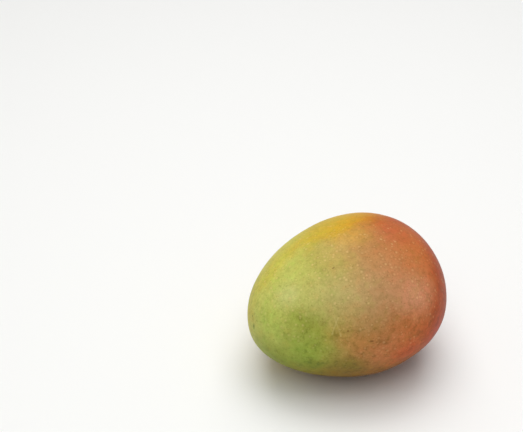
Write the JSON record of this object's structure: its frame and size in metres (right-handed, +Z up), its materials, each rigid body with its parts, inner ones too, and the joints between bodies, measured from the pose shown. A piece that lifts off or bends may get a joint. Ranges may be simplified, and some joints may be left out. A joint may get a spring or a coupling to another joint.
{
  "type": "mango",
  "caption": "Whole ripe mango with a green, yellow and red skin, lying on its flatter cheek on a small flat spot.",
  "frame": {"origin": "centre of the fruit's box at the level of the surface that it rests on", "axes": "+X from the nose to the stem end along the fruit's length, +Y towards its back edge, +Z up, from the cheek it lies on to the other cheek"},
  "size_m": [0.1158, 0.0998, 0.088],
  "materials": {
    "mango_skin": "satin"
  },
  "bodies": {
    "root": {"mango": "mango_skin"}
  },
  "joints": []
}
